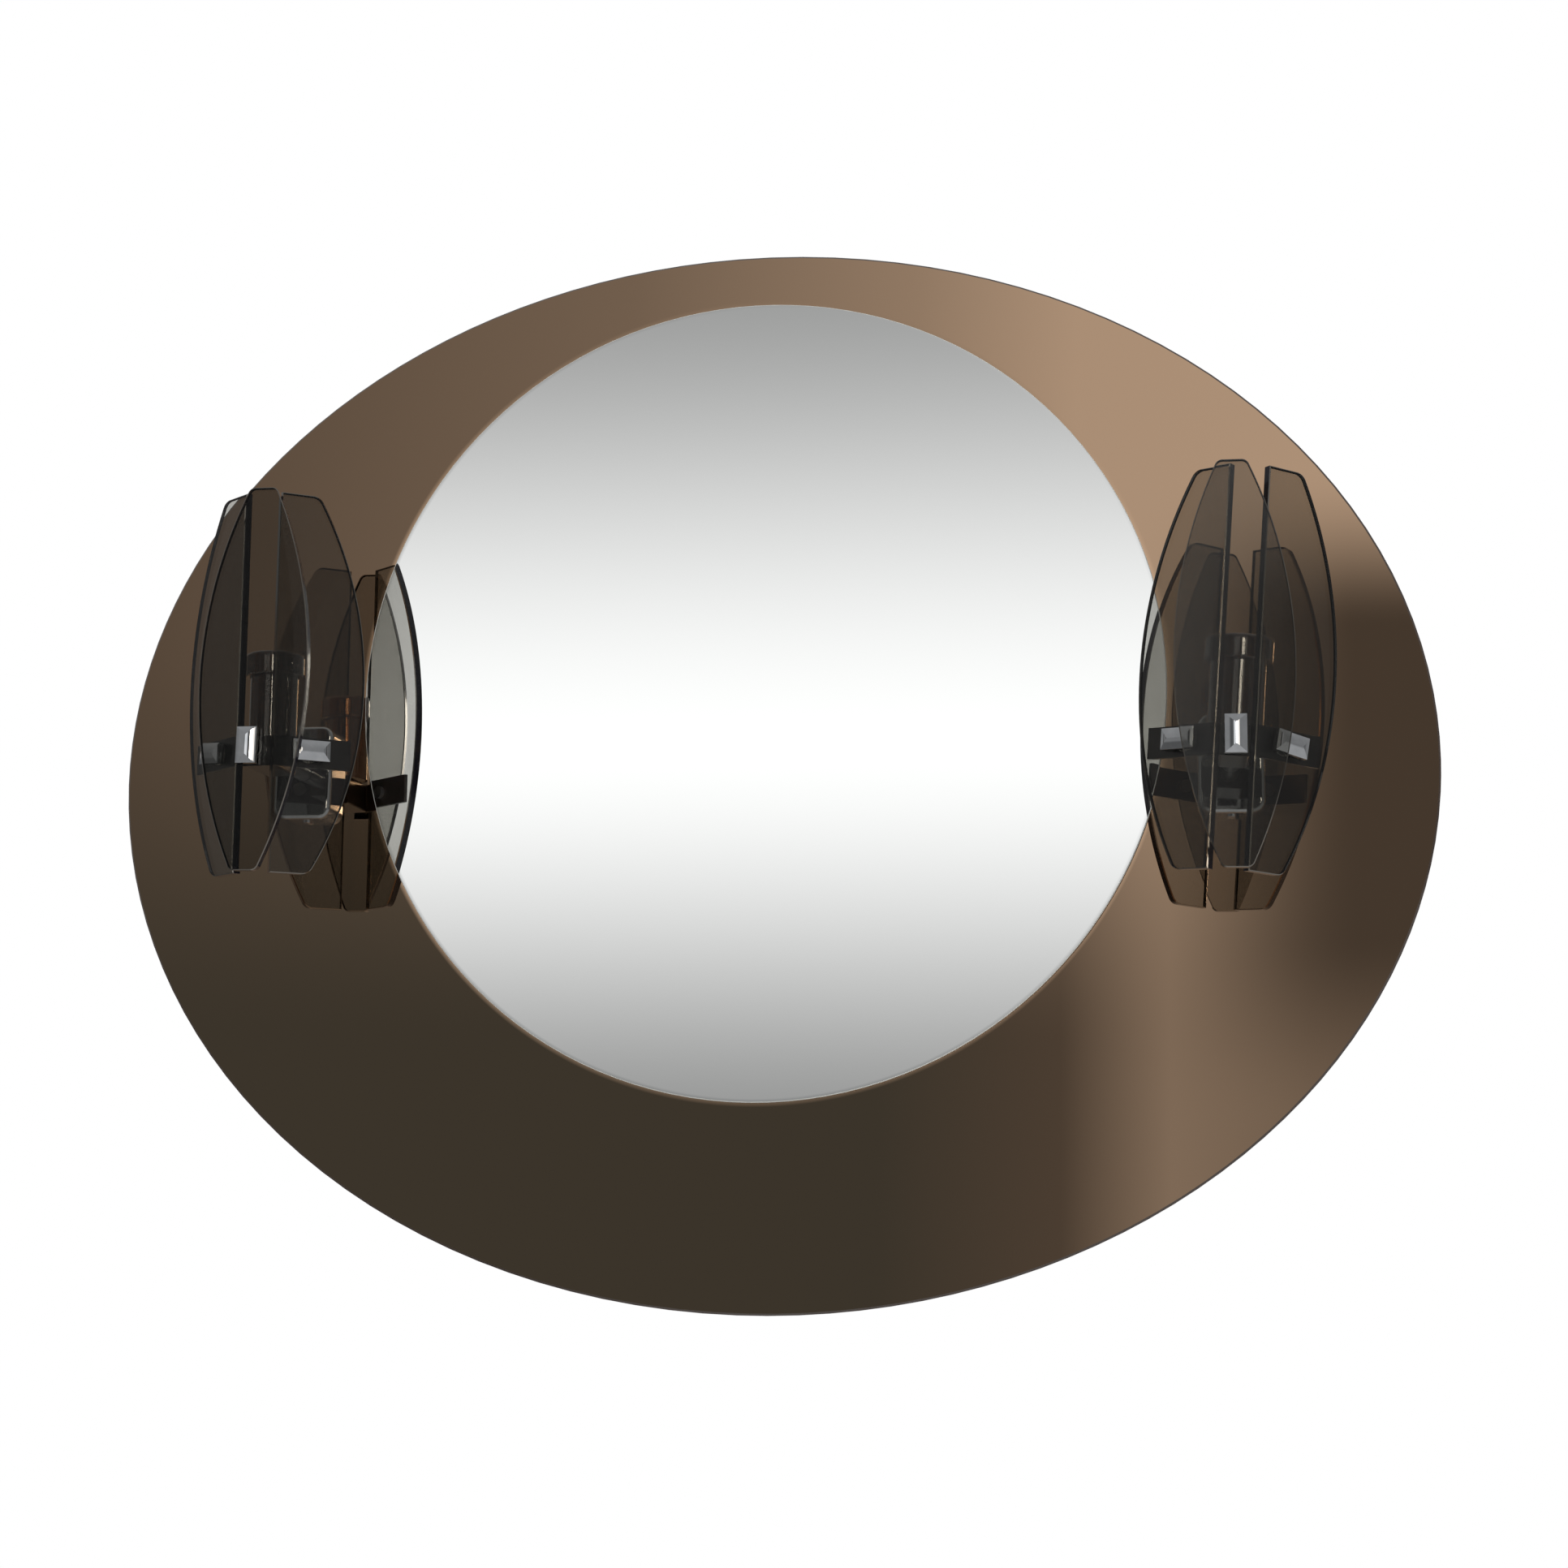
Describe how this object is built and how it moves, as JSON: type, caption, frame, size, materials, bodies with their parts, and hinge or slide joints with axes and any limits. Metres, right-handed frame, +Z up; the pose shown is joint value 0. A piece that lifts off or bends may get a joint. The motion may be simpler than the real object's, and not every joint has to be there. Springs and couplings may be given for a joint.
{
  "type": "lighted wall mirror",
  "caption": "Oval bronze wall mirror with a round clear mirror on its front and, at each side, a sconce of smoked-glass panes clamped round an upright lamp-holder",
  "frame": {"origin": "on the wall plane behind the middle of the oval", "axes": "+X to the right seen from the front, +Y into the wall, +Z up; the front faces -Y"},
  "size_m": [0.8999, 0.1401, 0.728],
  "materials": {
    "plywood": "sanded plywood",
    "bronze_mirror_glass": "bronze-tinted mirror glass, ground edge",
    "clear_mirror_glass": "clear mirror glass, ground edge",
    "foam_tape": "foam tape",
    "zinc_steel": "zinc-plated steel",
    "white_nylon": "moulded nylon",
    "lead_insulation": "smooth flexible sheath",
    "black_rubber": "soft sheet",
    "chrome": "bright chrome plating",
    "black_paint": "black stove enamel on steel",
    "brass": "turned brass",
    "glazed_porcelain": "glazed porcelain",
    "brown_bakelite": "glossy brown moulding",
    "smoked_glass": "smoked float glass, polished edges"
  },
  "bodies": {
    "mirror": {"backing_board": "plywood", "bronze_mirror": "bronze_mirror_glass", "clear_mirror_disc": "clear_mirror_glass", "mirror_tape": "foam_tape", "hanger_plates": "zinc_steel", "wood_screws": "zinc_steel", "terminal_block": "white_nylon", "cable_saddle": "zinc_steel", "board_leads": "lead_insulation", "lead_clips": "white_nylon", "mounting_straps": "zinc_steel", "strap_gaskets": "black_rubber", "strap_screws": "zinc_steel", "wall_box_screws": "chrome", "left_wall_box": "chrome", "right_wall_box": "chrome"},
    "left_arm": {"left_arm_tube": "black_paint", "left_hub": "black_paint", "left_pane_bracket": "black_paint", "left_clamp_studs": "zinc_steel", "left_spacer_sleeve": "chrome", "left_holder_nipple": "brass", "left_holder_core": "glazed_porcelain", "left_holder_sleeve": "brown_bakelite", "left_holder_ring": "brown_bakelite", "left_socket_shell": "brass", "left_lamp_lead": "lead_insulation"},
    "left_contact": {"left_centre_contact": "brass"},
    "left_front_pane_set": {"left_front_pane": "smoked_glass", "left_front_bush": "white_nylon"},
    "left_front_cap_nut": {"left_front_cap": "chrome"},
    "left_inner_pane_set": {"left_inner_pane": "smoked_glass", "left_inner_bush": "white_nylon"},
    "left_inner_cap_nut": {"left_inner_cap": "chrome"},
    "left_outer_pane_set": {"left_outer_pane": "smoked_glass", "left_outer_bush": "white_nylon"},
    "left_outer_cap_nut": {"left_outer_cap": "chrome"},
    "right_arm": {"right_arm_tube": "black_paint", "right_hub": "black_paint", "right_pane_bracket": "black_paint", "right_clamp_studs": "zinc_steel", "right_spacer_sleeve": "chrome", "right_holder_nipple": "brass", "right_holder_core": "glazed_porcelain", "right_holder_sleeve": "brown_bakelite", "right_holder_ring": "brown_bakelite", "right_socket_shell": "brass", "right_lamp_lead": "lead_insulation"},
    "right_contact": {"right_centre_contact": "brass"},
    "right_front_pane_set": {"right_front_pane": "smoked_glass", "right_front_bush": "white_nylon"},
    "right_front_cap_nut": {"right_front_cap": "chrome"},
    "right_inner_pane_set": {"right_inner_pane": "smoked_glass", "right_inner_bush": "white_nylon"},
    "right_inner_cap_nut": {"right_inner_cap": "chrome"},
    "right_outer_pane_set": {"right_outer_pane": "smoked_glass", "right_outer_bush": "white_nylon"},
    "right_outer_cap_nut": {"right_outer_cap": "chrome"}
  },
  "joints": [
    {"name": "left_sconce_turn", "type": "hinge", "parent": "mirror", "child": "left_arm", "pos_m": [-0.3155, -0.018, -0.0045], "axis": [0, -1, 0], "range_deg": [-11.2, 8.8]},
    {"name": "left_contact_spring", "type": "slide", "parent": "left_arm", "child": "left_contact", "axis": [-0.0209, 0, 0.9998], "range_m": [-0.0015, 0], "stiffness_N_per_m": 500, "springref_m": 0.0005},
    {"name": "left_front_pane_swivel", "type": "hinge", "parent": "left_arm", "child": "left_front_pane_set", "pos_m": [-0.3155, -0.127, -0.0045], "axis": [0, -1, 0], "range_deg": [-5, 5]},
    {"name": "left_front_cap_turn", "type": "hinge", "parent": "left_arm", "child": "left_front_cap_nut", "pos_m": [-0.3155, -0.127, -0.0045], "axis": [0, -1, 0], "range_deg": [0, 360]},
    {"name": "left_inner_pane_swivel", "type": "hinge", "parent": "left_arm", "child": "left_inner_pane_set", "pos_m": [-0.28644, -0.10225, -0.00389], "axis": [0.5735, -0.8192, 0.012], "range_deg": [-2.5, 2.5]},
    {"name": "left_inner_cap_turn", "type": "hinge", "parent": "left_arm", "child": "left_inner_cap_nut", "pos_m": [-0.28644, -0.10225, -0.00389], "axis": [0.5735, -0.8192, 0.012], "range_deg": [0, 360]},
    {"name": "left_outer_pane_swivel", "type": "hinge", "parent": "left_arm", "child": "left_outer_pane_set", "pos_m": [-0.34456, -0.10225, -0.00511], "axis": [-0.5735, -0.8192, -0.012], "range_deg": [-2.5, 2.5]},
    {"name": "left_outer_cap_turn", "type": "hinge", "parent": "left_arm", "child": "left_outer_cap_nut", "pos_m": [-0.34456, -0.10225, -0.00511], "axis": [-0.5735, -0.8192, -0.012], "range_deg": [0, 360]},
    {"name": "right_sconce_turn", "type": "hinge", "parent": "mirror", "child": "right_arm", "pos_m": [0.3155, -0.018, -0.0045], "axis": [0, -1, 0], "range_deg": [-6.2, 13.8]},
    {"name": "right_contact_spring", "type": "slide", "parent": "right_arm", "child": "right_contact", "axis": [0.0663, 0, 0.9978], "range_m": [-0.0015, 0], "stiffness_N_per_m": 500, "springref_m": 0.0005},
    {"name": "right_front_pane_swivel", "type": "hinge", "parent": "right_arm", "child": "right_front_pane_set", "pos_m": [0.3155, -0.127, -0.0045], "axis": [0, -1, 0], "range_deg": [-5, 5]},
    {"name": "right_front_cap_turn", "type": "hinge", "parent": "right_arm", "child": "right_front_cap_nut", "pos_m": [0.3155, -0.127, -0.0045], "axis": [0, -1, 0], "range_deg": [0, 360]},
    {"name": "right_inner_pane_swivel", "type": "hinge", "parent": "right_arm", "child": "right_inner_pane_set", "pos_m": [0.28649, -0.10225, -0.00257], "axis": [-0.5723, -0.8192, 0.038], "range_deg": [-2.5, 2.5]},
    {"name": "right_inner_cap_turn", "type": "hinge", "parent": "right_arm", "child": "right_inner_cap_nut", "pos_m": [0.28649, -0.10225, -0.00257], "axis": [-0.5723, -0.8192, 0.038], "range_deg": [0, 360]},
    {"name": "right_outer_pane_swivel", "type": "hinge", "parent": "right_arm", "child": "right_outer_pane_set", "pos_m": [0.34451, -0.10225, -0.00643], "axis": [0.5723, -0.8192, -0.038], "range_deg": [-2.5, 2.5]},
    {"name": "right_outer_cap_turn", "type": "hinge", "parent": "right_arm", "child": "right_outer_cap_nut", "pos_m": [0.34451, -0.10225, -0.00643], "axis": [0.5723, -0.8192, -0.038], "range_deg": [0, 360]}
  ]
}
